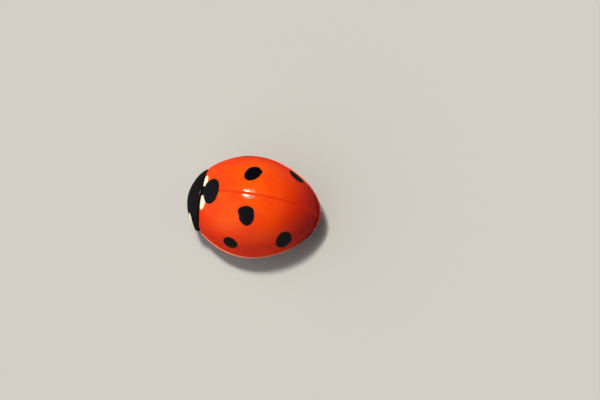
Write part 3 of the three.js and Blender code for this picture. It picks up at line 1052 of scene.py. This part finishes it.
# Half the width and half the depth of each joint, at even steps from its root to its end.
THIGH = {"widths": (0.1, 0.18, 0.23, 0.23, 0.19, 0.1), "depths": (0.09, 0.13, 0.16, 0.15, 0.12, 0.08)}
SHIN = {"widths": (0.07, 0.085, 0.095, 0.11, 0.125, 0.1), "depths": (0.065, 0.07, 0.08, 0.09, 0.1, 0.08)}
FIRST_FOOT_JOINT = {"widths": (0.05, 0.07, 0.1, 0.11), "depths": (0.05, 0.06, 0.06, 0.05)}
FOOT_LOBE = {"widths": (0.05, 0.07, 0.075, 0.06), "depths": (0.045, 0.045, 0.04, 0.035)}
CLAW_JOINT = {"widths": (0.03, 0.035, 0.04, 0.055), "depths": (0.03, 0.035, 0.04, 0.05)}
LOBE_SPREAD = 0.075
LOBE_DROP = 0.03
CLAW_JOINT_LIFT = 0.02


def leg(joints):
    """A left leg: hip, thigh, shin and a foot that lies on the floor and ends in two claws."""
    hip = np.array(joints["hip"])
    knee = np.array(joints["knee"])
    ankle = np.array((*joints["ankle"], ANKLE_HEIGHT))
    claws = np.array((*joints["claws"], CLAW_HEIGHT))
    thigh = knee - hip
    shin = ankle - knee
    form = Form()
    form.ball(hip + (0, 0, COXA_LIFT), np.array(HIP_RADII) * COXA_SHARES, around=40, along=28)
    form.ball(hip + 0.07 * thigh, TROCHANTER_RADII)
    form.segment(hip + 0.08 * thigh, knee, **THIGH)
    form.segment(knee - 0.02 * shin, ankle, **SHIN)
    return foot_parts(form, ankle, claws - ankle)


def foot_parts(form, ankle, foot):
    """A long joint, a joint of two soft lobes and a slender one that holds the claws."""
    ahead, aside = floor_directions(foot)
    form.segment(ankle - 0.04 * foot, ankle + 0.36 * foot, **FIRST_FOOT_JOINT)
    fork = ankle + 0.3 * foot
    for side in (1, -1):
        lobe = fork + 0.34 * foot + side * LOBE_SPREAD * aside - (0, 0, LOBE_DROP)
        form.segment(fork, lobe, **FOOT_LOBE)
    form.segment(fork + 0.1 * foot + (0, 0, CLAW_JOINT_LIFT), ankle + 0.97 * foot, **CLAW_JOINT)
    return claw_pair(form, ankle + foot, ahead, aside)


def floor_directions(line):
    """The way a line runs along the floor, and the way across it."""
    ahead = np.array((line[0], line[1], 0)) / np.linalg.norm(line[:2])
    return ahead, np.array((-ahead[1], ahead[0], 0))


HOOK_RADII = (0.022, 0.02, 0.014, 0.004)
TOOTH_RADII = (0.018, 0.013, 0.004)


def claw_pair(form, tip, ahead, aside):
    """Two hooks that spread from the tip and touch the floor, each with a tooth at its root."""
    for side in (1, -1):
        start = tip + side * 0.02 * aside - 0.04 * ahead

        def beyond(forward, outward, down):
            return start + forward * ahead + side * outward * aside - (0, 0, down)

        hook = (start, beyond(0.06, 0.025, -0.01), beyond(0.12, 0.035, 0.03), beyond(0.14, 0.03, 0.08))
        form.limb(hook, HOOK_RADII, HOOK_RADII, around=12)
        tooth = (beyond(0.05, 0.03, 0), beyond(0.055, 0.03, 0.03), beyond(0.07, 0.03, 0.055))
        form.limb(tooth, TOOTH_RADII, TOOTH_RADII, around=10)
    return form


# ------------ camera, lights and floor

CAMERA_AZIMUTH_DEG = 124.417
CAMERA_ELEVATION_DEG = 73.034
CAMERA_ROLL_DEG = -24.92
VIEW_WIDTH = 29.32
LENS = 200
SENSOR = 36
# The picture's middle lies this far to the right of and above the middle of the wing cases' base.
AIM_RIGHT = 4.566
AIM_UP = 0.037


def add_camera():
    azimuth = math.radians(CAMERA_AZIMUTH_DEG)
    elevation = math.radians(CAMERA_ELEVATION_DEG)
    roll = math.radians(CAMERA_ROLL_DEG)
    level_reach = math.cos(elevation)
    back = Vector((math.sin(azimuth) * level_reach, -math.cos(azimuth) * level_reach, math.sin(elevation)))
    level = Vector((math.cos(azimuth), math.sin(azimuth), 0))
    upright = back.cross(level)
    right = level * math.cos(roll) + upright * math.sin(roll)
    up = upright * math.cos(roll) - level * math.sin(roll)
    base = Vector((0, wing_case_low.y, MARGIN_HEIGHT * MM))
    aim = base + (right * AIM_RIGHT + up * AIM_UP) * MM
    beetle = Vector((0, 0, (MARGIN_HEIGHT + CROWN_HEIGHT / 2) * MM))
    distance = VIEW_WIDTH * LENS / SENSOR * MM
    eye = beetle + back * distance
    aim = aim + back * ((beetle - aim) @ back)
    forward = (aim - eye).normalized()
    camera = bpy.data.objects.new("camera", bpy.data.cameras.new("camera"))
    camera.data.lens = LENS
    camera.data.sensor_width = SENSOR
    camera.data.clip_start = distance * 0.01
    camera.data.clip_end = distance * 10
    side = forward.cross(up).normalized()
    top = side.cross(forward)
    camera.matrix_world = Matrix.Translation(eye) @ Matrix((side, top, -forward)).transposed().to_4x4()
    bpy.context.scene.collection.objects.link(camera)
    bpy.context.scene.camera = camera


KEY_COLOUR = (1.0, 0.95, 0.87)
# The two soft lights: where each shines from, how wide it looks and how strong it is.
KEY_LIGHTS = (
    {"direction": (-0.24, -0.19, 0.95), "width_deg": 8, "strength": 2.4},
    {"direction": (-0.235, -0.11, 0.97), "width_deg": 15, "strength": 0.75},
)


def add_key(direction, width_deg, strength):
    """A round soft light that is the same size and strength wherever it shines."""
    data = bpy.data.lights.new("key", "SUN")
    data.angle = math.radians(width_deg)
    data.energy = strength
    data.color = KEY_COLOUR
    light = bpy.data.objects.new("key", data)
    light.rotation_mode = "QUATERNION"
    light.rotation_quaternion = Vector(direction).to_track_quat("Z", "Y")
    bpy.context.scene.collection.objects.link(light)


FLOOR_HALF_WIDTH = 2000


def add_floor():
    mesh = bpy.data.meshes.new("floor")
    half = FLOOR_HALF_WIDTH * MM
    corners = [(-half, -half, 0), (half, -half, 0), (half, half, 0), (-half, half, 0)]
    mesh.from_pydata(corners, [], [(0, 1, 2, 3)])
    floor = bpy.data.objects.new("floor", mesh)
    bpy.context.scene.collection.objects.link(floor)
    paint = Paint("floor_pale")
    mesh.materials.append(paint.finish(FLOOR_GREY, 0.85, specular=0.1))


# The sky's strength overhead and at the floor's edge, the most that the glow adds, and where that lies.
SKY_ZENITH = 0.1
SKY_HORIZON = 0.35
SKY_BAND = 0.3
SKY_COLOUR = (0.95, 0.96, 1.0)
GLOW = 0.8
GLOW_DIRECTION = (0.45, -0.85, 0.3)


def add_world():
    """A pale sky, dim overhead, lighter just above the floor, with a broad soft glow from one side."""
    world = bpy.data.worlds.new("studio")
    world.use_nodes = True
    sky = Nodes(world.node_tree)
    ray = sky.node("ShaderNodeTexCoord").outputs["Generated"]
    height = sky.node("ShaderNodeSeparateXYZ", ray).outputs["Z"]
    plain = sky.step(height, 0.0, SKY_BAND, SKY_HORIZON, SKY_ZENITH)
    facing = sky.dot(ray, Vector(GLOW_DIRECTION).normalized())
    glow = sky.step(facing, 0.0, 1.0, 0.0, GLOW)
    background = sky.nodes["Background"]
    sky.put(background.inputs["Strength"], sky.math("ADD", plain, glow))
    sky.put(background.inputs["Color"], SKY_COLOUR)
    bpy.context.scene.world = world


def sided(form, side):
    """The left side's form, or its mirror image for the right side."""
    form.points = (np.asarray(form.points) * (SIDES[side], 1, 1)).tolist()
    return form


def add_studio():
    bpy.context.scene.view_settings.view_transform = "Standard"
    add_camera()
    add_world()
    for light in KEY_LIGHTS:
        add_key(**light)
    add_floor()


def add_beetle():
    shield_black = shield_paint()
    mouth_brown = chitin_paint("mouth_brown", SHADES["mouth"], roughness=0.55)
    feeler_brown = chitin_paint("feeler_brown", SHADES["feeler"])
    leg_black = chitin_paint("leg_black", SHADES["leg"])
    piece("scutellum_plate", scutellum(), shield_black, ["scutellum"])
    piece("shield", pronotum(), shield_black, ["pronotum"], on_head=True)
    piece("face", head(), head_paint(), ["head"], on_head=True)
    piece("upper_lip", labrum(), mouth_brown, ["labrum"], on_head=True)
    piece("underside", underside(), belly_paint(), ["prosternum", "thorax", "abdomen"])
    head_pairs = (
        ("faceted_eye", eye, eye_paint(), "eye_black", "eye"),
        ("jaw", mandible, mouth_brown, "feeler_brown", "mandible"),
        ("mouth_feeler", palp, mouth_brown, "feeler_brown", "palp"),
        ("feeler", feeler, feeler_brown, "feeler_brown", "antenna"),
    )
    for side in SIDES:
        case = sided(wing_case(), side)
        piece(f"wing_case_{side}", case, wing_case_paint(side), [f"elytron_{side}"])
        for name, make, material, slot, node in head_pairs:
            piece(f"{name}_{side}", sided(make(), side), material, [f"{node}_{side}"], on_head=True)
        for name, joints in LEGS.items():
            nodes = [f"leg_{name}_{part}_{side}" for part in ("femur", "tibia", "tarsus")]
            piece(f"leg_{name}_{side}", sided(leg(joints), side), leg_black, nodes)


add_studio()
add_beetle()
